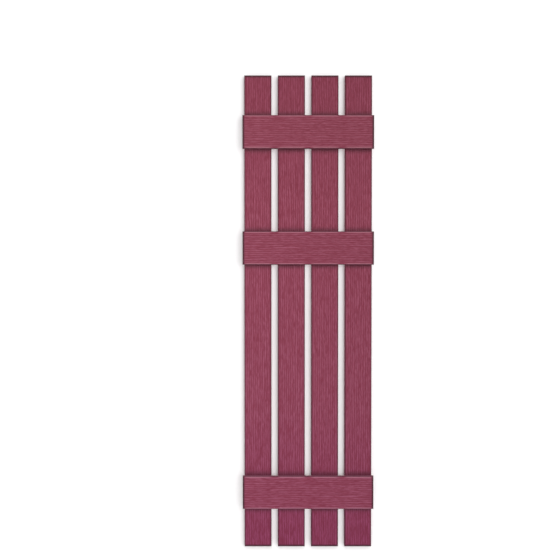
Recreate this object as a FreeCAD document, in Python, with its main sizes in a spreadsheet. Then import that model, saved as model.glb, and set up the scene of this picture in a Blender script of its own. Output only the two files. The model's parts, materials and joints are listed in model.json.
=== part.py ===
"""Board and batten shutter, modelled piece by piece in millimetres.

Four upright boards stand side by side with open gaps between them, and three battens cross
their front faces. Boards and battens are plastic mouldings with thin walls and open backs.

Frame: X runs to the right along the wall, Y runs back into the wall and Z runs up. The wall is
the plane Y = 0. The origin is the lower left corner of the left outer board's back face.
"""
import FreeCAD, Part
import os
import Sketcher

# Driving dimensions: name, value in millimetres or a plain count, meaning
SIZES = (
    ("shutter_height", "1397", "length of every board"),
    ("board_width", "80", "width of one board"),
    ("board_gap", "19", "open gap between two boards"),
    ("board_depth", "19", "from the wall to the boards' front faces"),
    ("board_wall", "2.5", "wall of the board moulding"),
    ("board_round", "5", "rounding of a board's front edges"),
    ("rib_wall", "2", "thickness of the ribs behind a board"),
    ("rib_setback", "3", "how far the ribs stop short of the wall"),
    ("rib_count", "11", "number of cross ribs behind a board"),
    ("batten_height", "98", "height of one batten"),
    ("batten_overhang", "5", "how far a batten passes the outer boards"),
    ("batten_proud", "12.7", "how far a batten stands proud of the boards"),
    ("batten_wall", "2.5", "wall of the batten moulding"),
    ("batten_round", "5", "rounding of a batten's front edges"),
    ("top_inset", "119", "from the top of the boards down to the top batten"),
    ("middle_inset", "460", "from the top of the boards down to the middle batten"),
    ("bottom_inset", "116", "from the bottom of the boards up to the bottom batten"),
    ("screw_spacing", "40", "between the two screws that fix a batten to one board"),
    ("screw_clearance", "5", "diameter of a screw's hole through a board"),
    ("boss_diameter", "10", "outer diameter of a screw boss in a batten"),
)

# Sizes that follow from the driving dimensions
BOARD_PITCH = "(Sizes.board_width + Sizes.board_gap)"
BATTEN_LENGTH = "(4 * Sizes.board_width + 3 * Sizes.board_gap + 2 * Sizes.batten_overhang)"
BOARD_NAMES = ("left_outer_board", "left_inner_board", "right_inner_board", "right_outer_board")
BATTEN_FOOT = {
    "top_batten": "(Sizes.shutter_height - Sizes.top_inset - Sizes.batten_height)",
    "middle_batten": "(Sizes.shutter_height - Sizes.middle_inset - Sizes.batten_height)",
    "bottom_batten": "Sizes.bottom_inset",
}
ON_PLANE = 1e-6

doc = FreeCAD.newDocument("shutter")


def make_sheet():
    """Writes the driving dimensions into the document's sheet."""
    sheet = doc.addObject("Spreadsheet::Sheet", "Sizes")
    for row, (alias, value, meaning) in enumerate(SIZES, start=1):
        sheet.set(f"A{row}", alias)
        sheet.set(f"B{row}", value)
        sheet.set(f"C{row}", meaning)
        sheet.setAlias(f"B{row}", alias)
    doc.recompute()


def new_body(label, place):
    """Starts a sub-part whose corner sits at the three expressions in place."""
    body = doc.addObject("PartDesign::Body", label)
    body.Label = label
    for axis, expression in zip("xyz", place):
        body.setExpression(f"Placement.Base.{axis}", expression)
    return body


def back_sketch(body, name, setback="0"):
    """Adds a sketch on the body's XZ plane, which faces forward, moved forward by setback."""
    sketch = body.newObject("Sketcher::SketchObject", name)
    plane = next(item for item in body.Origin.OriginFeatures if item.Role == "XZ_Plane")
    sketch.AttachmentSupport = [(plane, "")]
    sketch.MapMode = "FlatFace"
    sketch.setExpression("AttachmentOffset.Base.z", setback)
    return sketch


def bind(sketch, name, constraint, expression):
    """Adds a named constraint to a sketch and ties its value to an expression."""
    index = sketch.addConstraint(constraint)
    sketch.renameConstraint(index, name)
    sketch.setExpression(f"Constraints.{name}", expression)


def draw_rectangle(sketch, left, foot, width, height):
    """Draws a rectangle from the expressions for its lower left corner and its two sides."""
    corners = [FreeCAD.Vector(*point) for point in ((1, 1, 0), (2, 1, 0), (2, 2, 0), (1, 2, 0))]
    for index in range(4):
        sketch.addGeometry(Part.LineSegment(corners[index], corners[(index + 1) % 4]), False)
    for index in range(4):
        sketch.addConstraint(Sketcher.Constraint("Coincident", index, 2, (index + 1) % 4, 1))
        sketch.addConstraint(Sketcher.Constraint(("Horizontal", "Vertical")[index % 2], index))
    bind(sketch, "left", Sketcher.Constraint("DistanceX", -1, 1, 0, 1, 1.0), left)
    bind(sketch, "foot", Sketcher.Constraint("DistanceY", -1, 1, 0, 1, 1.0), foot)
    bind(sketch, "width", Sketcher.Constraint("DistanceX", 0, 1, 0, 2, 1.0), width)
    bind(sketch, "height", Sketcher.Constraint("DistanceY", 1, 1, 1, 2, 1.0), height)


def draw_circle(sketch, name, across, up, diameter):
    """Draws a circle from the expressions for its centre and its diameter."""
    index = sketch.addGeometry(Part.Circle(FreeCAD.Vector(1, 1, 0), FreeCAD.Vector(0, 0, 1), 1.0), False)
    bind(sketch, f"{name}_diameter", Sketcher.Constraint("Diameter", index, 2.0), diameter)
    bind(sketch, f"{name}_across", Sketcher.Constraint("DistanceX", -1, 1, index, 3, 1.0), across)
    bind(sketch, f"{name}_up", Sketcher.Constraint("DistanceY", -1, 1, index, 3, 1.0), up)


def add_pad(body, sketch, name, length):
    """Pads a sketch forward, away from the wall."""
    pad = body.newObject("PartDesign::Pad", name)
    pad.Profile = sketch
    pad.setExpression("Length", length)
    doc.recompute()
    return pad


def add_pocket(body, sketch, name, depth):
    """Cuts a sketch forward into the body and makes sure that it took material away."""
    before = body.Shape.Volume
    pocket = body.newObject("PartDesign::Pocket", name)
    pocket.Profile = sketch
    pocket.Reversed = True
    pocket.setExpression("Length", depth)
    doc.recompute()
    if pocket.Shape.Volume >= before:
        raise RuntimeError(f"{body.Label}: {name} cuts nothing")
    return pocket


def add_pattern(body, feature, axis, length, count):
    """Repeats a feature along one of its sketch's axes, over length, count times in all."""
    pattern = body.newObject("PartDesign::LinearPattern", f"{feature.Name}_row")
    pattern.Originals = [feature]
    pattern.Direction = (feature.Profile[0], [axis])
    pattern.setExpression("Length", length)
    pattern.setExpression("Occurrences", count)
    body.Tip = pattern
    doc.recompute()
    return pattern


def round_front(body, pad, radius):
    """Rounds the four front edges of a block, mitred at the corners."""
    front = pad.Shape.BoundBox.YMin
    names = []
    for index, edge in enumerate(pad.Shape.Edges, start=1):
        ends = [vertex.Point.y - front for vertex in edge.Vertexes]
        if max(ends) < ON_PLANE:
            names.append(f"Edge{index}")
    fillet = body.newObject("PartDesign::Fillet", f"{pad.Name}_round")
    fillet.Base = (pad, names)
    fillet.setExpression("Radius", radius)
    doc.recompute()
    return fillet


def make_tray(body, width, height, depth, wall, radius):
    """Models an open-backed moulding: a block rounded at the front and hollowed from behind."""
    outline = back_sketch(body, "Outline")
    draw_rectangle(outline, "0", "0", width, height)
    block = add_pad(body, outline, "Block", depth)
    round_front(body, block, radius)
    inside = back_sketch(body, "Inside")
    draw_rectangle(inside, wall, wall, f"{width} - 2 * {wall}", f"{height} - 2 * {wall}")
    add_pocket(body, inside, "Hollow", f"{depth} - {wall}")


def make_board(label, column):
    """Models one board: a tray with ribs behind its face and holes for the batten screws."""
    width = "Sizes.board_width"
    height = "Sizes.shutter_height"
    depth = "Sizes.board_depth"
    wall = "Sizes.board_wall"
    rib = "Sizes.rib_wall"
    rib_reach = f"{depth} - Sizes.rib_setback - {wall} / 2"
    body = new_body(label, (f"{column} * {BOARD_PITCH}", "0", "0"))
    make_tray(body, width, height, depth, wall, "Sizes.board_round")

    spine = back_sketch(body, "Spine", "Sizes.rib_setback")
    draw_rectangle(spine, f"({width} - {rib}) / 2", f"{wall} / 2", rib, f"{height} - {wall}")
    add_pad(body, spine, "Spine_rib", rib_reach)

    cross = back_sketch(body, "Cross", "Sizes.rib_setback")
    rib_pitch = f"{height} / (Sizes.rib_count + 1)"
    draw_rectangle(cross, f"{wall} / 2", f"{rib_pitch} - {rib} / 2", f"{width} - {wall}", rib)
    cross_rib = add_pad(body, cross, "Cross_rib", rib_reach)
    add_pattern(body, cross_rib, "V_Axis", f"{rib_pitch} * (Sizes.rib_count - 1)", "Sizes.rib_count")

    holes = back_sketch(body, "Holes")
    for name, foot in BATTEN_FOOT.items():
        for side, sign in (("left", "-"), ("right", "+")):
            across = f"{width} / 2 {sign} Sizes.screw_spacing / 2"
            up = f"{foot} + Sizes.batten_height / 2"
            draw_circle(holes, f"{name}_{side}", across, up, "Sizes.screw_clearance")
    add_pocket(body, holes, "Screw_holes", f"{depth} + {wall}")
    return body


def make_batten(label, foot):
    """Models one batten: a tray with a pair of screw bosses over every board."""
    height = "Sizes.batten_height"
    proud = "Sizes.batten_proud"
    wall = "Sizes.batten_wall"
    body = new_body(label, ("-Sizes.batten_overhang", "-Sizes.board_depth", foot))
    make_tray(body, BATTEN_LENGTH, height, proud, wall, "Sizes.batten_round")

    bosses = back_sketch(body, "Bosses")
    for side, sign in (("left", "-"), ("right", "+")):
        across = f"Sizes.batten_overhang + Sizes.board_width / 2 {sign} Sizes.screw_spacing / 2"
        draw_circle(bosses, f"boss_{side}", across, f"{height} / 2", "Sizes.boss_diameter")
    boss_pad = add_pad(body, bosses, "Screw_bosses", f"{proud} - {wall} / 2")
    last_board = len(BOARD_NAMES) - 1
    add_pattern(body, boss_pad, "H_Axis", f"{last_board} * {BOARD_PITCH}", str(len(BOARD_NAMES)))
    return body


def check_and_export(bodies):
    """Stops on any failed object, then writes one file for each sub-part."""
    doc.recompute()
    for item in doc.Objects:
        if "Invalid" in item.State or "Error" in item.State:
            raise RuntimeError(f"{item.Label} failed: {item.State}")
    for body in bodies:
        if body.Shape.isNull() or not body.Shape.isValid() or len(body.Shape.Solids) != 1:
            raise RuntimeError(f"{body.Label} is not one sound solid")
    os.makedirs("parts", exist_ok=True)
    for body in bodies:
        body.Shape.exportStep(os.path.join("parts", f"{body.Label}.step"))
        print(f"{body.Label}: {body.Shape.Volume / 1000:.1f} cubic centimetres")


make_sheet()
boards = [make_board(label, column) for column, label in enumerate(BOARD_NAMES)]
battens = [make_batten(label, foot) for label, foot in BATTEN_FOOT.items()]
check_and_export(boards + battens)
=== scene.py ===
"""Finish of a spaced board and batten shutter: woodgrain mouldings, screws, stage and camera."""
import json
import math

import bmesh
import bpy
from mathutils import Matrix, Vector

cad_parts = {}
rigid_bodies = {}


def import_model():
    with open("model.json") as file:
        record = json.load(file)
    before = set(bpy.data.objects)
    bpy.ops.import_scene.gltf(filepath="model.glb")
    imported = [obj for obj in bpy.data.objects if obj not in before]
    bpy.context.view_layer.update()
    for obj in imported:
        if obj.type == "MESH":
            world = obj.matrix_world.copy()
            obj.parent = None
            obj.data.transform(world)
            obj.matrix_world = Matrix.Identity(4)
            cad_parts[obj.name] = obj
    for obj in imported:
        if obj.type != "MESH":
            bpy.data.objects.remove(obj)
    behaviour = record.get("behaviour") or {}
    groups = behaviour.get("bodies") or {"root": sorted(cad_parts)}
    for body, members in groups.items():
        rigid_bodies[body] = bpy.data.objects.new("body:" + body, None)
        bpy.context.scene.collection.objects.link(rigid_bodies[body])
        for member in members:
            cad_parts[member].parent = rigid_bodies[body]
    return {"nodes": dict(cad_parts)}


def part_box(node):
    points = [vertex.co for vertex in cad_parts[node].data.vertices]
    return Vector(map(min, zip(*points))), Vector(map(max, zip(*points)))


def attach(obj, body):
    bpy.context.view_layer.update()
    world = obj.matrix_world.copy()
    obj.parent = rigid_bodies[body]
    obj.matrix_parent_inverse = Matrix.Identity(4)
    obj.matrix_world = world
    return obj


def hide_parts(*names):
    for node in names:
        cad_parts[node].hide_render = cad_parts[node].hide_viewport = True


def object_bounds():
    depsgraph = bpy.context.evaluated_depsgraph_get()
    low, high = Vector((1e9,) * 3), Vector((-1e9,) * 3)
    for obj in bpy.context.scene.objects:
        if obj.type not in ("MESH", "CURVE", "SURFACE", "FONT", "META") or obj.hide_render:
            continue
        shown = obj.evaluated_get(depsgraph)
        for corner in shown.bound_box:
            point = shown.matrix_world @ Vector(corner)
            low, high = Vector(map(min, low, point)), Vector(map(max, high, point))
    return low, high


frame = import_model()
CAD_LOW, CAD_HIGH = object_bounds()

bl_info = {
    "name": "Board and Batten Shutter",
    "version": (1, 0, 0),
    "blender": (4, 5, 0),
    "location": "View3D > Sidebar > Shutter",
    "description": "Embosses the boards and battens with woodgrain and sets them on a white wall",
    "category": "Object",
}

MM = 0.001
BOARDS = ("left_outer_board", "left_inner_board", "right_inner_board", "right_outer_board")
BATTENS = ("top_batten", "middle_batten", "bottom_batten")

# Sizes of the mouldings: what their boxes show is read from the solids, the rest is as in them
BOARD_LOW, BOARD_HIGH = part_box(BOARDS[0])
BOARD_WIDTH = BOARD_HIGH.x - BOARD_LOW.x
BOARD_DEPTH = BOARD_HIGH.y - BOARD_LOW.y
BOARD_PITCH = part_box(BOARDS[1])[0].x - BOARD_LOW.x
BOARD_WALL = 2.5 * MM
ROUND = 5 * MM
SCREW_SPACING = 40 * MM

# Pan-head screws: the head, the rounding of its rim and the slots of its cross recess
HEAD_SIDES = 24
HEAD_RADIUS = 4 * MM
HEAD_HEIGHT = 2.4 * MM
HEAD_ROUND = 0.55 * HEAD_HEIGHT
HEAD_ROUND_STEPS = 3
RECESS = (4.4 * MM, 2.4 * MM, 0.9 * MM)

# Work on the meshes: the axes of a front, what counts as one plane, as one point and as running
# along an axis, the factors by which edges are cut, and the angles up to which edges are smooth
FRONT_AXES = (0, 2)
ON_PLANE = 0.02 * MM
WELD = 0.01 * MM
ALONG_AXIS = 0.99
SMALL_FACTORS = (2, 3, 5, 7)
MOULDING_SMOOTH = math.radians(40)
HEAD_SMOOTH = math.radians(35)

# Steps between the seeds of two boards and of two battens
BOARD_SEED_STEP = 7.3
BATTEN_SEED_STEP = 11.9

# Figure of the woodgrain: its slow swing, the bends of the growth lines in line spacings and in
# turns, the length over which a line fades as a share of its length, and how narrow a line is
SWING_WIDTH = 60 * MM
SWING_LENGTH = 130 * MM
BEND_SPACINGS = 2.5
BEND_TURNS = 1.1
FADE_SHARE = 0.25
LINE_POWER = 1.5
GRAIN_NOISE = {"Scale": 1.0, "Detail": 1.0, "Roughness": 0.6}
LINE_STRENGTH = {"From Min": 0.3, "From Max": 0.7, "To Min": 0.15, "To Max": 0.65}
FIBRE_STRENGTH = {"From Min": 0.32, "From Max": 0.72, "To Min": 0.0, "To Max": 0.45}
GROUND_LEVEL = {"From Min": 0.1, "From Max": 0.75, "To Min": 1.0, "To Max": 0.0}

# Grain value of the sides and the rounded edges, which have no figure
PLAIN_SHADE = 0.6

# Pores of the wood that the mould copies
PORE_WIDTH = 0.8 * MM
PORE_LENGTH = 22 * MM
PORE_NOISE = {"Scale": 1.0, "Detail": 2.0, "Roughness": 0.6}
PORE_DEPTH = {"From Min": 0.5, "From Max": 0.62, "To Min": 0.0, "To Max": 0.4}
PORE_BUMP = {"Strength": 0.5, "Distance": 0.6 * MM}

# How far the ground of the grain takes on its own colour where there is no pore
GROUND_SHARE = 0.8

# Painted shade of boards and battens along their rims, by the distance from the edge, and tints of
# a painted fall-off of the light that multiply their colours at these heights in metres
LIGHT_FALLOFF_HEIGHTS = (0.0, 0.42, 1.0, 1.397)
BOARD_PAINTED_LIGHT = {
    "side_edge_shade": {"From Min": 2 * MM, "From Max": 5 * MM, "To Min": 0.6, "To Max": 0.0},
    "end_edge_shade": {"From Min": 2.5 * MM, "From Max": 10 * MM, "To Min": 1.0, "To Max": 0.0},
    "light_falloff": ("#ECCCF4", "#FBFFFF", "#FCF7F3", "#EED4DB"),
}
BATTEN_PAINTED_LIGHT = {
    "side_edge_shade": {"From Min": 0.8 * MM, "From Max": 1.8 * MM, "To Min": 0.9, "To Max": 0.0},
    "end_edge_shade": {"From Min": 2 * MM, "From Max": 9 * MM, "To Min": 1.0, "To Max": 0.0},
    "light_falloff": ("#FAFCFF", "#FBFDFE", "#F9FBF3", "#F9FAEF"),
}

# How far the painted shade on the boards reaches from the battens
BATTEN_SHADE_REACH = 18 * MM

# Painted highlight along a batten's long edges, by the distance from the edge
PAINTED_EDGE_HIGHLIGHT = {"From Min": 0.75 * ROUND, "From Max": 1.15 * ROUND, "To Min": 0.7, "To Max": 0.0}

# The painted shade of rims and battens is full on faces turned to the front, weak on sides and
# backs
FRONT_TURN = {"From Min": -0.3, "From Max": 0.0, "To Min": 1.0, "To Max": 0.2}

# Backdrop: sizes of the wall and the floor in metres, and where they lie
WALL_SIZE = (5.0, 4.0)
WALL_GAP = 1 * MM
FLOOR_SIZE = (8.0, 8.0)
FLOOR_HEIGHT = -0.4

# Where the lamps stand and aim, seen from the middle of the shutter, and how large they are
KEY_PLACE = Vector((0.35, -1, 0.4))
SIDE_PLACE = Vector((0.5, -1, 0.05))
DROP_PLACE = Vector((0.08, -1, 0.75))
STRIP_PLACE = Vector((-0.45, -0.7, 0.25))
STRIP_AIM = Vector((-0.3, 0, 0.25))
STRIP_SIZE = (0.3, 1.8)
BACK_PLACE = Vector((0, 2.6, 0.6))
BACK_SIZE = 2.0

# Half the band of directions over which the room's light changes from front to back
ROOM_BLEND = 0.1

# Width of the photograph in pixels, and of the camera's sensor in millimetres
PHOTO_PIXELS = 560
SENSOR_WIDTH = 36.0

# Kinds of node that come up often, and the settings with which one mixes colours
MATH = "ShaderNodeMath"
VECTOR_MATH = "ShaderNodeVectorMath"
SPLIT = "ShaderNodeSeparateXYZ"
NOISE = "ShaderNodeTexNoise"
RAMP = "ShaderNodeMapRange"
MIX = "ShaderNodeMix"
COLOURS = {"output": "Result", "data_type": "RGBA"}


def linear(hex_colour):
    """Turns an sRGB hex colour into the linear colour that shaders take."""
    channels = [int(hex_colour[i:i + 2], 16) / 255 for i in (1, 3, 5)]
    return [c / 12.92 if c <= 0.04045 else ((c + 0.055) / 1.055) ** 2.4 for c in channels]


def add_node(tree, kind, inputs=None, output=0, **settings):
    """Adds a node to a tree, sets its options, fills or links its inputs and gives one output."""
    node = tree.nodes.new(kind)
    for option, value in settings.items():
        setattr(node, option, value)
    for socket, value in (inputs or {}).items():
        if isinstance(value, bpy.types.NodeSocket):
            tree.links.new(value, node.inputs[socket])
        else:
            node.inputs[socket].default_value = value
    return node.outputs[output] if node.outputs else node


def activate(piece):
    """Makes a piece the only selected object and the active one."""
    bpy.ops.object.select_all(action="DESELECT")
    piece.select_set(True)
    bpy.context.view_layer.objects.active = piece


class ShutterGrain(bpy.types.PropertyGroup):
    """Sizes of the woodgrain that the moulds leave on the front faces."""

    depth: bpy.props.FloatProperty(
        name="Grain depth", description="From the raised lines of the grain down to its ground",
        default=0.5 * MM, min=0, unit="LENGTH", precision=5)
    line_spacing: bpy.props.FloatProperty(
        name="Line spacing", description="Spacing of the growth lines across the grain",
        default=6.5 * MM, min=1 * MM, unit="LENGTH", precision=5)
    line_length: bpy.props.FloatProperty(
        name="Line length", description="Length over which a growth line bends or fades",
        default=120 * MM, min=1 * MM, unit="LENGTH", precision=4)
    fibre_width: bpy.props.FloatProperty(
        name="Fibre width", description="Width of a short fibre across the grain",
        default=2 * MM, min=0.1 * MM, unit="LENGTH", precision=5)
    fibre_length: bpy.props.FloatProperty(
        name="Fibre length", description="Length of a short fibre along the grain",
        default=12 * MM, min=1 * MM, unit="LENGTH", precision=4)
    wander: bpy.props.FloatProperty(
        name="Wander", description="How far the grain swings from side to side",
        default=1.5 * MM, min=0, unit="LENGTH", precision=4)
    pitch_across: bpy.props.FloatProperty(
        name="Mesh pitch across", description="Mesh spacing across the grain",
        default=0.6 * MM, min=0.2 * MM, unit="LENGTH", precision=5)
    pitch_along: bpy.props.FloatProperty(
        name="Mesh pitch along", description="Mesh spacing along the grain",
        default=4 * MM, min=0.5 * MM, unit="LENGTH", precision=4)
    edge_fade: bpy.props.FloatProperty(
        name="Edge fade", description="Band beside the rounded edges over which the grain runs out",
        default=1.5 * MM, min=0.1 * MM, unit="LENGTH", precision=5)


class ShutterFinish(bpy.types.PropertyGroup):
    """Colours and gloss of the moulded plastic, its painted shade and highlights, and the screws'
    colour.
    """

    # Colour of the raised grain lines, made paler by a painted sheen on them
    line_and_sheen_colour: bpy.props.FloatVectorProperty(
        name="Line colour", description="Colour of the raised lines of the grain, rubbed pale",
        default=linear("#934961"), min=0, max=1, size=3, subtype="COLOR")
    ground_colour: bpy.props.FloatVectorProperty(
        name="Ground colour", description="Colour between the raised lines",
        default=linear("#741F37"), min=0, max=1, size=3, subtype="COLOR")
    # Colour of the painted shade along the fronts' edges and on the boards against the battens
    painted_shade_colour: bpy.props.FloatVectorProperty(
        name="Rim colour", description="Darker colour along the fronts' edges, and of the grime",
        default=linear("#3E1121"), min=0, max=1, size=3, subtype="COLOR")
    # Colour of the painted highlight along the battens' long edges
    edge_highlight_colour: bpy.props.FloatVectorProperty(
        name="Worn edge colour", description="Pale line along the battens' long edges",
        default=linear("#C98CA0"), min=0, max=1, size=3, subtype="COLOR")
    # How dark the painted shade is on the boards against the battens, where shade falls beside them
    grime: bpy.props.FloatProperty(
        name="Grime", description="How dark the boards are where dust gathers against the battens",
        default=0.6, min=0, max=1, subtype="FACTOR")
    roughness: bpy.props.FloatProperty(
        name="Roughness", description="Low sheen of the moulded surface",
        default=0.55, min=0, max=1, subtype="FACTOR")
    steel_colour: bpy.props.FloatVectorProperty(
        name="Screw colour", description="Colour of the plain stainless screws",
        default=linear("#B9B8B4"), min=0, max=1, size=3, subtype="COLOR")


class ShutterStage(bpy.types.PropertyGroup):
    """Camera, lamps, wall and floor."""

    camera_distance: bpy.props.FloatProperty(
        name="Camera distance", description="From the boards' front faces to the camera",
        default=2.3, min=0.1, unit="LENGTH")
    camera_left: bpy.props.FloatProperty(
        name="Camera left", description="How far the camera stands left of the centre line",
        default=83.1 * MM, unit="LENGTH")
    camera_rise: bpy.props.FloatProperty(
        name="Camera rise", description="How far the camera stands above mid height",
        default=136.2 * MM, unit="LENGTH")
    camera_pitch: bpy.props.FloatProperty(
        name="Camera pitch", description="How far the camera looks down",
        default=math.radians(1.02), subtype="ANGLE")
    focal_pixels: bpy.props.FloatProperty(
        name="Focal length in pixels", description="Focal length fitted to the photograph's frame",
        default=778.0, min=1)
    wall_colour: bpy.props.FloatVectorProperty(
        name="Wall colour", description="Colour of the wall and the floor",
        default=linear("#FAFAFA"), min=0, max=1, size=3, subtype="COLOR")
    floor_lift: bpy.props.FloatProperty(
        name="Floor lift",
        description="Light that the floor adds for the camera, so that it reads white",
        default=0.35, min=0, max=1)
    key_strength: bpy.props.FloatProperty(
        name="Key strength", description="Even soft light on the shutter from the upper right",
        default=1.52, min=0)
    side_strength: bpy.props.FloatProperty(
        name="Side strength",
        description="Light on the wall from the right, for the shadows beside the boards",
        default=1.2, min=0)
    drop_strength: bpy.props.FloatProperty(
        name="Drop strength",
        description="Light on the wall from above, for the shadows below the boards",
        default=1.42, min=0)
    sun_spread: bpy.props.FloatProperty(
        name="Sun spread", description="Width of the key, side and drop lights, as an angle",
        default=math.radians(46), min=0, subtype="ANGLE")
    strip_power: bpy.props.FloatProperty(
        name="Strip power", description="Tall soft lamp in front, to the left",
        default=3.0, min=0, unit="POWER")
    back_power: bpy.props.FloatProperty(
        name="Back power", description="Soft lamp behind, for views of the back",
        default=60, min=0, unit="POWER")
    front_ambient: bpy.props.FloatProperty(
        name="Front ambient", description="Even light from the room in front",
        default=0.4, min=0)
    back_ambient: bpy.props.FloatProperty(
        name="Back ambient", description="Even light from behind",
        default=0.25, min=0)


def edge_distances(tree, place, size):
    """Splits the distances from a place on a piece to the nearest sides of the piece's box.

    The place is measured from the lowest corner of the box.
    """
    beyond = add_node(tree, VECTOR_MATH, {0: size, 1: place}, operation="SUBTRACT")
    nearest = add_node(tree, VECTOR_MATH, {0: place, 1: beyond}, operation="MINIMUM")
    return add_node(tree, SPLIT, {0: nearest}).node.outputs


def grain_figure(tree, position, seed, upright, grain):
    """Draws the figure of the woodgrain, from 0 on a raised line to 1 on the ground."""

    def noise(place, width, length):
        """Noise drawn out along the grain, in cells of this width and length."""
        scale = (1 / width, 0, 1 / length) if upright else (1 / length, 0, 1 / width)
        drawn = add_node(tree, VECTOR_MATH, {0: place, 1: scale, 2: seed}, operation="MULTIPLY_ADD")
        return add_node(tree, NOISE, {"Vector": drawn, **GRAIN_NOISE})

    # The whole figure swings slowly from side to side
    swing = noise(position, SWING_WIDTH, SWING_LENGTH)
    swing = add_node(tree, MATH, {0: swing, 1: 0.5}, operation="SUBTRACT")
    reach = (2 * grain.wander, 0, 0) if upright else (0, 0, 2 * grain.wander)
    swung = add_node(tree, VECTOR_MATH, {0: swing, 1: reach, 2: position}, operation="MULTIPLY_ADD")

    # Growth lines are narrow ridges that bend, fork and fade
    across = add_node(tree, SPLIT, {0: swung}, output="X" if upright else "Z")
    bend = noise(swung, BEND_SPACINGS * grain.line_spacing, grain.line_length)
    bend = add_node(tree, MATH, {0: bend, 1: BEND_TURNS * math.tau}, operation="MULTIPLY")
    phase = add_node(tree, MATH, {0: across, 1: math.tau / grain.line_spacing, 2: bend},
                     operation="MULTIPLY_ADD")
    wave = add_node(tree, MATH, {0: phase}, operation="SINE")
    wave = add_node(tree, MATH, {0: wave, 1: 0.5, 2: 0.5}, operation="MULTIPLY_ADD")
    ridge = add_node(tree, MATH, {0: wave, 1: LINE_POWER}, operation="POWER")
    strength = noise(swung, grain.line_spacing, FADE_SHARE * grain.line_length)
    strength = add_node(tree, RAMP, {"Value": strength, **LINE_STRENGTH})
    lines = add_node(tree, MATH, {0: ridge, 1: strength}, operation="MULTIPLY")

    # Short fibres lie between and over them
    fibres = noise(swung, grain.fibre_width, grain.fibre_length)
    fibres = add_node(tree, RAMP, {"Value": fibres, **FIBRE_STRENGTH})
    raised = add_node(tree, MATH, {0: lines, 1: fibres}, operation="ADD", use_clamp=True)
    return add_node(tree, RAMP, {"Value": raised, **GROUND_LEVEL}, interpolation_type="SMOOTHSTEP")


def woodgrain_tree(name, upright, grain):
    """Builds the geometry nodes that emboss upright or level woodgrain into a front face.

    Only points on the front plane move, inward along +Y, and the raised lines stay on that plane.
    Two attributes stay for the finish: grain runs from 0 on a raised line to 1 on the ground, and
    place is the point measured from the lowest corner of the piece.
    """
    tree = bpy.data.node_groups.new(name, "GeometryNodeTree")
    tree.interface.new_socket("Geometry", in_out="INPUT", socket_type="NodeSocketGeometry")
    tree.interface.new_socket("Seed", in_out="INPUT", socket_type="NodeSocketFloat")
    tree.interface.new_socket("Geometry", in_out="OUTPUT", socket_type="NodeSocketGeometry")
    geometry = add_node(tree, "NodeGroupInput", output="Geometry")
    seed = add_node(tree, "ShaderNodeCombineXYZ", {"Y": geometry.node.outputs["Seed"]})
    position = add_node(tree, "GeometryNodeInputPosition")
    ground = grain_figure(tree, position, seed, upright, grain)

    # Only the flat front is pressed, and the grain runs out before the rounded edges
    low = add_node(tree, "GeometryNodeBoundBox", {"Geometry": geometry}, output="Min")
    size = add_node(tree, VECTOR_MATH, {0: low.node.outputs["Max"], 1: low}, operation="SUBTRACT")
    place = add_node(tree, VECTOR_MATH, {0: position, 1: low}, operation="SUBTRACT")
    margins = edge_distances(tree, place, size)
    margin = add_node(tree, MATH, {0: margins["X"], 1: margins["Z"]}, operation="MINIMUM")
    fade = add_node(tree, RAMP, {
        "Value": margin, "From Min": ROUND, "From Max": ROUND + grain.edge_fade},
        interpolation_type="SMOOTHSTEP")
    back = add_node(tree, SPLIT, {0: place}, output="Y")
    on_front = add_node(tree, MATH, {0: back, 1: ON_PLANE}, operation="LESS_THAN")
    depth = grain.depth
    for share in (ground, fade, on_front):
        depth = add_node(tree, MATH, {0: depth, 1: share}, operation="MULTIPLY")
    shade = add_node(tree, MIX, {"Factor": on_front, "A": PLAIN_SHADE, "B": ground},
                     data_type="FLOAT")

    for attribute, kind, value in (("grain", "FLOAT", shade), ("place", "FLOAT_VECTOR", place)):
        geometry = add_node(tree, "GeometryNodeStoreNamedAttribute", {
            "Geometry": geometry, "Name": attribute, "Value": value},
            data_type=kind, domain="POINT")
    inward = add_node(tree, "ShaderNodeCombineXYZ", {"Y": depth})
    geometry = add_node(tree, "GeometryNodeSetPosition", {"Geometry": geometry, "Offset": inward})
    add_node(tree, "NodeGroupOutput", {"Geometry": geometry})
    return tree


def wood_pores(tree, point, upright):
    """Draws noise as wide and as long as the pores of the wood that the mould copies."""
    scale = [1 / PORE_WIDTH] * 3
    scale[2 if upright else 0] = 1 / PORE_LENGTH
    drawn = add_node(tree, "ShaderNodeMapping", {"Vector": point, "Scale": scale})
    return add_node(tree, NOISE, {"Vector": drawn, **PORE_NOISE})


def batten_shade_marks(tree, height, share):
    """Lists how far a height is from the middle of every batten, and how painted shade runs out
    there.
    """
    marks = []
    for batten in BATTENS:
        low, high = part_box(batten)
        half = (high.z - low.z) / 2
        off = add_node(tree, MATH, {0: height, 1: (low.z + high.z) / 2}, operation="SUBTRACT")
        off = add_node(tree, MATH, {0: off}, operation="ABSOLUTE")
        marks.append((off, {
            "From Min": half, "From Max": half + BATTEN_SHADE_REACH, "To Min": share, "To Max": 0.0}))
    return marks


def join_painted_shade(tree, marks, normal):
    """Joins painted shade along rims and against battens, each a distance and how it runs out, and
    keeps it in front.
    """
    dark = 0.0
    for distance, shape in marks:
        mark = add_node(tree, RAMP, {"Value": distance, **shape}, interpolation_type="SMOOTHSTEP")
        dark = add_node(tree, MATH, {0: dark, 1: mark}, operation="MAXIMUM")
    turn = add_node(tree, SPLIT, {0: normal}, output="Y")
    in_front = add_node(tree, RAMP, {"Value": turn, **FRONT_TURN})
    return add_node(tree, MATH, {0: dark, 1: in_front}, operation="MULTIPLY")


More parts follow.
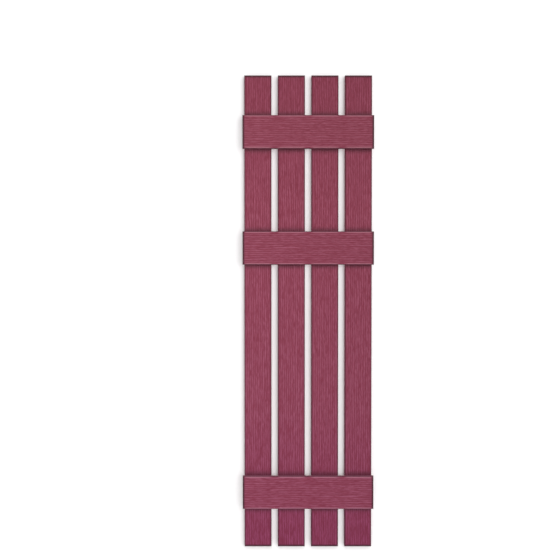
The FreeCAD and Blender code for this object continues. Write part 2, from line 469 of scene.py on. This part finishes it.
def painted_edge_highlight(tree, across, side, pores):
    """Paints a highlight along a batten's long edges, only where a board lies behind them."""
    highlight = add_node(tree, RAMP, {"Value": side, **PAINTED_EDGE_HIGHLIGHT})
    highlight = add_node(tree, MATH, {0: highlight, 1: pores}, operation="MULTIPLY")
    across = add_node(tree, MATH, {0: across, 1: (BOARD_PITCH - BOARD_WIDTH) / 2}, operation="ADD")
    across = add_node(tree, MATH, {0: across, 1: BOARD_PITCH}, operation="FLOORED_MODULO")
    off = add_node(tree, MATH, {0: across, 1: BOARD_PITCH / 2}, operation="SUBTRACT")
    off = add_node(tree, MATH, {0: off}, operation="ABSOLUTE")
    backed = add_node(tree, RAMP, {
        "Value": off, "From Min": BOARD_WIDTH / 2 - 2 * ROUND, "From Max": BOARD_WIDTH / 2 + ROUND,
        "To Min": 1.0, "To Max": 0.0}, interpolation_type="SMOOTHSTEP")
    return add_node(tree, MATH, {0: highlight, 1: backed}, operation="MULTIPLY")


def paint_light_falloff(tree, height, tints):
    """Paints the light's fall-off as a tint that darkens and shifts a little towards the foot and
    the top.
    """
    colours = [(*linear(tint), 1) for tint in tints]
    light_falloff = colours[0]
    for start, stop, colour in zip(LIGHT_FALLOFF_HEIGHTS, LIGHT_FALLOFF_HEIGHTS[1:], colours[1:]):
        rise = add_node(tree, RAMP, {"Value": height, "From Min": start, "From Max": stop})
        light_falloff = add_node(tree, MIX, {"Factor": rise, "A": light_falloff, "B": colour}, **COLOURS)
    return light_falloff


def moulded_copolymer(name, upright, size, painted_light, finish):
    """Polypropylene copolymer, injection moulded and coloured through, with the mould's woodgrain.

    It gives a satin burgundy, paler on the raised lines, partly by a painted sheen, with painted
    shade at the edges and against the battens, a painted highlight on the battens' long edges and a
    painted fall-off of the light towards the foot and the top.
    """
    material = bpy.data.materials.new(name)
    material.use_nodes = True
    tree = material.node_tree
    shader = tree.nodes["Principled BSDF"]
    point = add_node(tree, "ShaderNodeTexCoord", output="Object")
    spot = add_node(tree, SPLIT, {0: point}).node.outputs
    grain = add_node(tree, "ShaderNodeAttribute", output="Fac", attribute_name="grain")
    place = add_node(tree, "ShaderNodeAttribute", output="Vector", attribute_name="place")
    margins = edge_distances(tree, place, tuple(size))
    side, end = (margins["X"], margins["Z"]) if upright else (margins["Z"], margins["X"])
    pores = wood_pores(tree, point, upright)
    groove = add_node(tree, RAMP, {"Value": pores, **PORE_DEPTH}, interpolation_type="SMOOTHSTEP")

    # Colours lie over that of the raised lines: the ground, a painted highlight on the battens'
    # edges, and painted shade along the rims and against the battens
    sunk = add_node(tree, MATH, {0: grain, 1: GROUND_SHARE, 2: groove},
                    operation="MULTIPLY_ADD", use_clamp=True)
    layers = [(sunk, finish.ground_colour)]
    marks = [(side, painted_light["side_edge_shade"]), (end, painted_light["end_edge_shade"])]
    if upright:
        marks += batten_shade_marks(tree, spot["Z"], finish.grime)
    else:
        layers.append((painted_edge_highlight(tree, spot["X"], side, pores), finish.edge_highlight_colour))
    layers.append((join_painted_shade(tree, marks, point.node.outputs["Normal"]), finish.painted_shade_colour))
    colour = (*finish.line_and_sheen_colour, 1)
    for share, layer in layers:
        colour = add_node(tree, MIX, {"Factor": share, "A": colour, "B": (*layer, 1)}, **COLOURS)
    light_falloff = paint_light_falloff(tree, spot["Z"], painted_light["light_falloff"])
    colour = add_node(tree, MIX, {"Factor": 1.0, "A": colour, "B": light_falloff},
                      blend_type="MULTIPLY", **COLOURS)

    bump = add_node(tree, "ShaderNodeBump", {"Height": groove, **PORE_BUMP}, invert=True)
    tree.links.new(colour, shader.inputs["Base Color"])
    tree.links.new(bump, shader.inputs["Normal"])
    shader.inputs["Roughness"].default_value = finish.roughness
    shader.inputs["Specular IOR Level"].default_value = 0.25
    shader.inputs["IOR"].default_value = 1.49
    return material


def stainless_steel(finish):
    """Plain stainless steel of small screws, satin from the pickling bath."""
    material = bpy.data.materials.new("stainless_steel")
    material.use_nodes = True
    shader = material.node_tree.nodes["Principled BSDF"]
    shader.inputs["Base Color"].default_value = (*finish.steel_colour, 1)
    shader.inputs["Metallic"].default_value = 1.0
    shader.inputs["Roughness"].default_value = 0.35
    return material


def select_edges(piece, wanted):
    """In edit mode, selects only the open edges for which wanted says yes, and counts them."""
    bpy.ops.mesh.select_mode(type="EDGE")
    bpy.ops.mesh.select_all(action="DESELECT")
    edit = bmesh.from_edit_mesh(piece.data)
    count = 0
    for edge in edit.edges:
        if edge.is_boundary and wanted(edge):
            edge.select_set(True)
            count += 1
    bmesh.update_edit_mesh(piece.data)
    return count


def open_front(piece, front):
    """In edit mode, takes off the flat front and closes the screw holes, which the screws fill."""
    bpy.ops.mesh.select_mode(type="FACE")
    bpy.ops.mesh.select_all(action="DESELECT")
    edit = bmesh.from_edit_mesh(piece.data)
    for face in edit.faces:
        depths = [vert.co.y - front for vert in face.verts]
        flat_front = max(depths) < ON_PLANE
        hole_wall = min(depths) < ON_PLANE and abs(max(depths) - BOARD_WALL) < ON_PLANE
        face.select_set(flat_front or hole_wall)
    bmesh.update_edit_mesh(piece.data)
    bpy.ops.mesh.delete(type="FACE")
    if select_edges(piece, lambda edge: edge.verts[0].co.y - front > ON_PLANE):
        bpy.ops.mesh.fill_holes(sides=0)


def clear_rim(piece, front):
    """In edit mode, takes the points off the open front edges, all but the four corners."""
    bpy.ops.mesh.select_mode(type="VERT")
    bpy.ops.mesh.select_all(action="DESELECT")
    edit = bmesh.from_edit_mesh(piece.data)
    rim = [vert for vert in edit.verts if vert.is_boundary and vert.co.y - front < ON_PLANE]
    ends = {}
    for axis in FRONT_AXES:
        reach = [vert.co[axis] for vert in rim]
        ends[axis] = (min(reach), max(reach))
    for vert in rim:
        gaps = [min(abs(vert.co[axis] - end) for end in ends[axis]) for axis in FRONT_AXES]
        vert.select_set(max(gaps) > ON_PLANE)
    bmesh.update_edit_mesh(piece.data)
    bpy.ops.mesh.dissolve_verts()


def small_factors(number):
    """Takes a number apart into small factors, and gives them and what is left over."""
    factors = []
    for factor in SMALL_FACTORS:
        while number % factor == 0:
            factors.append(factor)
            number //= factor
    return factors, number


def cut_edges(piece, axis, wanted):
    """In edit mode, divides the open edges along an axis into the wanted number of parts or more.

    The number is made of small factors and cut factor by factor, because one step can't make
    more than a hundred cuts.
    """
    parts = max(2, math.ceil(wanted))
    while small_factors(parts)[1] > 1:
        parts += 1

    def along(edge):
        """Says whether an edge runs along the axis."""
        run = edge.verts[1].co - edge.verts[0].co
        return abs(run[axis]) > ALONG_AXIS * run.length

    for factor in small_factors(parts)[0]:
        select_edges(piece, along)
        bpy.ops.mesh.subdivide(number_cuts=factor - 1, quadcorner="STRAIGHT_CUT")


def emboss(node_name, tree, seed, upright, grain):
    """Copies a moulding, with a fine mesh for its flat front and the woodgrain pressed into it."""
    low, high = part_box(node_name)
    piece = bpy.data.objects.new(f"{node_name}_grained", frame["nodes"][node_name].data.copy())
    bpy.context.scene.collection.objects.link(piece)
    activate(piece)
    bpy.ops.object.mode_set(mode="EDIT")
    bpy.ops.mesh.customdata_custom_splitnormals_clear()
    bpy.ops.mesh.select_all(action="SELECT")
    bpy.ops.mesh.remove_doubles(threshold=WELD)
    open_front(piece, low.y)
    clear_rim(piece, low.y)

    # A fine grid closes the front again
    pitches = (grain.pitch_across, grain.pitch_along)
    for axis, pitch in zip(FRONT_AXES, pitches if upright else reversed(pitches)):
        cut_edges(piece, axis, (high - low)[axis] / pitch)
    select_edges(piece, lambda edge: True)
    bpy.ops.mesh.fill_grid()
    if select_edges(piece, lambda edge: True):
        raise RuntimeError(f"{node_name}: the front is not closed")
    bpy.ops.object.mode_set(mode="OBJECT")

    press = piece.modifiers.new("Woodgrain", "NODES")
    press.node_group = tree
    press[tree.interface.items_tree["Seed"].identifier] = float(seed)
    bpy.ops.object.modifier_apply(modifier=press.name)
    bpy.ops.object.shade_smooth_by_angle(angle=MOULDING_SMOOTH)
    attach(piece, "root")
    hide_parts(node_name)
    return piece


def emboss_all(names, tree, seed_step, upright, grain, finish):
    """Embosses like pieces, each from a seed of its own, and gives them one finish."""
    pieces = []
    for number, name in enumerate(names, start=1):
        piece = emboss(name, tree, number * seed_step, upright, grain)
        piece.data.materials.clear()
        piece.data.materials.append(finish)
        pieces.append(piece)
    return pieces


class SHUTTER_OT_boards(bpy.types.Operator):
    """Emboss the four boards with upright woodgrain"""

    bl_idname = "shutter.boards"
    bl_label = "Emboss Boards"

    def execute(self, context):
        grain = context.scene.shutter_grain
        tree = woodgrain_tree("upright_woodgrain", True, grain)
        finish = moulded_copolymer("copolymer_upright_grain", True, BOARD_HIGH - BOARD_LOW,
                                   BOARD_PAINTED_LIGHT, context.scene.shutter_finish)
        for piece in emboss_all(BOARDS, tree, BOARD_SEED_STEP, True, grain, finish):
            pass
        return {"FINISHED"}


class SHUTTER_OT_battens(bpy.types.Operator):
    """Emboss the three battens with level woodgrain"""

    bl_idname = "shutter.battens"
    bl_label = "Emboss Battens"

    def execute(self, context):
        grain = context.scene.shutter_grain
        tree = woodgrain_tree("level_woodgrain", False, grain)
        low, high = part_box(BATTENS[0])
        finish = moulded_copolymer("copolymer_level_grain", False, high - low, BATTEN_PAINTED_LIGHT,
                                   context.scene.shutter_finish)
        for piece in emboss_all(BATTENS, tree, BATTEN_SEED_STEP, False, grain, finish):
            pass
        return {"FINISHED"}


def pan_head(seat):
    """Models the head of one screw, which sits on a point and faces back."""
    bpy.ops.object.select_all(action="DESELECT")
    bpy.ops.mesh.primitive_cylinder_add(vertices=HEAD_SIDES, radius=HEAD_RADIUS, depth=HEAD_HEIGHT,
                                        rotation=(math.pi / 2, 0, 0))
    head = bpy.context.object
    bpy.ops.object.transform_apply(location=False, rotation=True, scale=False)
    bpy.ops.object.mode_set(mode="EDIT")
    bpy.ops.mesh.select_mode(type="EDGE")
    bpy.ops.mesh.select_all(action="DESELECT")
    edit = bmesh.from_edit_mesh(head.data)
    for edge in edit.edges:
        edge.select_set(all(vert.co.y > 0 for vert in edge.verts))
    bmesh.update_edit_mesh(head.data)
    bpy.ops.mesh.bevel(offset=HEAD_ROUND, segments=HEAD_ROUND_STEPS)
    bpy.ops.object.mode_set(mode="OBJECT")
    head.location = seat + Vector((0, HEAD_HEIGHT / 2, 0))

    # A cross recess for the driver
    for turn in (0, math.pi / 2):
        bpy.ops.object.select_all(action="DESELECT")
        bpy.ops.mesh.primitive_cube_add(size=1, location=seat + Vector((0, HEAD_HEIGHT, 0)),
                                        rotation=(0, turn, 0))
        cutter = bpy.context.object
        cutter.scale = RECESS
        activate(head)
        cut = head.modifiers.new("Recess", "BOOLEAN")
        cut.object = cutter
        bpy.ops.object.modifier_apply(modifier=cut.name)
        bpy.data.objects.remove(cutter)
    return head


def screw_row():
    """Models the row of screws that holds one batten, two to a board, at height 0."""
    first = BOARD_WIDTH / 2 - SCREW_SPACING / 2
    row = pan_head(Vector((first, BOARD_WALL - BOARD_DEPTH, 0)))
    for count, step in ((2, SCREW_SPACING), (len(BOARDS), BOARD_PITCH)):
        repeat = row.modifiers.new("Row", "ARRAY")
        repeat.count = count
        repeat.use_relative_offset = False
        repeat.use_constant_offset = True
        repeat.constant_offset_displace = (step, 0, 0)
        bpy.ops.object.modifier_apply(modifier=repeat.name)
    bpy.ops.object.shade_smooth_by_angle(angle=HEAD_SMOOTH)
    return row


class SHUTTER_OT_screws(bpy.types.Operator):
    """Add the pan-head screws that hold the battens, seen only from behind"""

    bl_idname = "shutter.screws"
    bl_label = "Add Screws"

    def execute(self, context):
        row = screw_row()
        row.data.materials.append(stainless_steel(context.scene.shutter_finish))
        for name in BATTENS:
            low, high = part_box(name)
            piece = row.copy()
            piece.data = row.data.copy()
            piece.name = f"{name}_screws"
            piece.location.z = (low.z + high.z) / 2
            context.scene.collection.objects.link(piece)
            activate(piece)
            bpy.ops.object.transform_apply(location=True, rotation=True, scale=True)
            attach(piece, "root")
        bpy.data.objects.remove(row)
        return {"FINISHED"}


def seen_straight(tree):
    """A value that is 1 for what the camera sees, straight or in a reflection or through glass."""
    seen = add_node(tree, "ShaderNodeLightPath", output="Is Camera Ray")
    rays = seen.node.outputs
    for name in ("Is Glossy Ray", "Is Transmission Ray"):
        seen = add_node(tree, MATH, {0: seen, 1: rays[name]}, operation="MAXIMUM")
    return seen


def matt_paint(name, colour, lift):
    """Matt white paint that keeps shadows, adds a lift for the camera and is clear from behind."""
    material = bpy.data.materials.new(name)
    material.use_nodes = True

    # The lift is for the camera alone, so it is not sampled as a lamp
    material.cycles.emission_sampling = "NONE"
    tree = material.node_tree
    tree.nodes.remove(tree.nodes["Principled BSDF"])
    paint = add_node(tree, "ShaderNodeBsdfDiffuse", {"Color": (*colour, 1)})
    seen = add_node(tree, MATH, {0: seen_straight(tree), 1: lift}, operation="MULTIPLY")
    glow = add_node(tree, "ShaderNodeEmission", {"Strength": seen})
    front = add_node(tree, "ShaderNodeAddShader", {0: paint, 1: glow})
    clear = add_node(tree, "ShaderNodeBsdfTransparent")
    behind = add_node(tree, "ShaderNodeNewGeometry", output="Backfacing")
    sided = add_node(tree, "ShaderNodeMixShader", {0: behind, 1: front, 2: clear})
    tree.links.new(sided, tree.nodes["Material Output"].inputs["Surface"])
    return material


def add_backdrop(name, size, place, tilt, colour, lift):
    """Adds a painted plane of the stage, tilted up from level."""
    bpy.ops.object.select_all(action="DESELECT")
    bpy.ops.mesh.primitive_plane_add(size=1, location=place, rotation=(tilt, 0, 0))
    plane = bpy.context.object
    plane.name = name
    plane.scale = (*size, 1)
    bpy.ops.object.transform_apply(location=True, rotation=True, scale=True)
    plane.data.materials.append(matt_paint(f"{name}_paint", colour, lift))
    return plane


def gather(name, pieces):
    """Puts pieces into a collection that lamps can name."""
    group = bpy.data.collections.new(name)
    for piece in pieces:
        group.objects.link(piece)
    return group


def add_lamp(name, kind, place, aim, strength, lit=None, shades=None):
    """Adds a lamp that faces a point, and gives its light.

    It lights only the pieces in lit, and only those in shades block it. Without lit it lights all
    pieces, and without shades all of them block it.
    """
    light = bpy.data.lights.new(name, kind)
    light.energy = strength
    lamp = bpy.data.objects.new(name, light)
    lamp.location = place
    lamp.rotation_mode = "QUATERNION"
    lamp.rotation_quaternion = (aim - place).to_track_quat("-Z", "Y")
    lamp.visible_camera = False
    lamp.light_linking.receiver_collection = lit
    lamp.light_linking.blocker_collection = shades
    bpy.context.scene.collection.objects.link(lamp)
    return light


def add_lamps(stage, centre, backdrop):
    """Adds lamps for the shutter, lamps for the backdrop and one lamp behind for both."""
    meshes = [piece for piece in bpy.context.scene.objects if piece.type == "MESH"]
    lit_pieces = gather("lit_pieces", [piece for piece in meshes if piece not in backdrop])
    lit_stage = gather("lit_stage", backdrop)

    # Battens don't shade the drop lamp, because the soft shadow on the wall follows the boards
    boards_only = gather("boards_only", [bpy.data.objects[f"{name}_grained"] for name in BOARDS])
    for name, place, strength, lit, shades in (
            ("key_lamp", KEY_PLACE, stage.key_strength, lit_pieces, None),
            ("side_lamp", SIDE_PLACE, stage.side_strength, lit_stage, None),
            ("drop_lamp", DROP_PLACE, stage.drop_strength, lit_stage, boards_only)):
        sun = add_lamp(name, "SUN", centre + place, centre, strength, lit, shades)
        sun.angle = stage.sun_spread
    strip = add_lamp("strip_lamp", "AREA", centre + STRIP_PLACE, centre + STRIP_AIM,
                     stage.strip_power, lit_pieces)
    strip.shape = "RECTANGLE"
    strip.size, strip.size_y = STRIP_SIZE
    back = add_lamp("back_lamp", "AREA", centre + BACK_PLACE, centre, stage.back_power)
    back.size = BACK_SIZE


def light_room(scene, stage):
    """Fills the room with even light, less of it from behind, and shows it white to the camera."""
    world = scene.world or bpy.data.worlds.new("white_studio")
    scene.world = world
    world.use_nodes = True
    tree = world.node_tree
    way = add_node(tree, "ShaderNodeTexCoord", output="Generated")
    behind = add_node(tree, SPLIT, {0: way}, output="Y")
    room = add_node(tree, RAMP, {
        "Value": behind, "From Min": -ROOM_BLEND, "From Max": ROOM_BLEND,
        "To Min": stage.front_ambient, "To Max": stage.back_ambient})
    level = add_node(tree, MIX, {"Factor": seen_straight(tree), "A": room, "B": 1.0},
                     data_type="FLOAT")
    sky = tree.nodes["Background"]
    sky.inputs["Color"].default_value = (1, 1, 1, 1)
    tree.links.new(level, sky.inputs["Strength"])


def add_camera(scene, stage, centre):
    """Adds the camera where the photograph was taken from."""
    lens = bpy.data.cameras.new("photo_camera")
    lens.sensor_width = SENSOR_WIDTH
    lens.lens = stage.focal_pixels / PHOTO_PIXELS * SENSOR_WIDTH
    camera = bpy.data.objects.new("photo_camera", lens)
    camera.location = (centre.x - stage.camera_left, -BOARD_DEPTH - stage.camera_distance,
                       centre.z + stage.camera_rise)
    camera.rotation_euler = (math.pi / 2 - stage.camera_pitch, 0, 0)
    scene.collection.objects.link(camera)
    scene.camera = camera


class SHUTTER_OT_stage(bpy.types.Operator):
    """Set up the wall, the floor, the lamps and the camera"""

    bl_idname = "shutter.stage"
    bl_label = "Set the Stage"

    def execute(self, context):
        scene = context.scene
        stage = scene.shutter_stage
        centre = (CAD_LOW + CAD_HIGH) / 2
        wall = add_backdrop("white_wall", WALL_SIZE, (centre.x, WALL_GAP, centre.z), math.pi / 2,
                            stage.wall_colour, 0.0)
        floor = add_backdrop("pale_floor", FLOOR_SIZE, (centre.x, 0, FLOOR_HEIGHT), 0,
                             stage.wall_colour, stage.floor_lift)

        # The wall neither shades the lamp behind it nor throws light back onto the shutter
        wall.visible_shadow = False
        wall.visible_diffuse = False
        add_lamps(stage, centre, (wall, floor))
        light_room(scene, stage)
        add_camera(scene, stage, centre)
        scene.view_settings.view_transform = "Standard"
        return {"FINISHED"}


class VIEW3D_PT_shutter(bpy.types.Panel):
    """Lists the shutter's steps and settings"""

    bl_label = "Board and Batten Shutter"
    bl_space_type = "VIEW_3D"
    bl_region_type = "UI"
    bl_category = "Shutter"

    def draw(self, context):
        for operator in OPERATORS:
            self.layout.operator(operator.bl_idname)
        for group in SETTINGS:
            settings = getattr(context.scene, group)
            column = self.layout.column(align=True)
            for name in settings.__annotations__:
                column.prop(settings, name)


SETTINGS = {
    "shutter_grain": ShutterGrain,
    "shutter_finish": ShutterFinish,
    "shutter_stage": ShutterStage,
}
OPERATORS = (SHUTTER_OT_boards, SHUTTER_OT_battens, SHUTTER_OT_screws, SHUTTER_OT_stage)


def register():
    """Registers the classes and hangs the settings on the scene."""
    for cls in (*SETTINGS.values(), *OPERATORS, VIEW3D_PT_shutter):
        bpy.utils.register_class(cls)
    for name, group in SETTINGS.items():
        setattr(bpy.types.Scene, name, bpy.props.PointerProperty(type=group))


def unregister():
    """Takes the settings and the classes away again."""
    for name in SETTINGS:
        delattr(bpy.types.Scene, name)
    for cls in (VIEW3D_PT_shutter, *reversed(OPERATORS), *reversed(SETTINGS.values())):
        bpy.utils.unregister_class(cls)


def main():
    register()
    bpy.ops.shutter.boards()
    bpy.ops.shutter.battens()
    bpy.ops.shutter.screws()
    bpy.ops.shutter.stage()


if __name__ == "__main__":
    main()
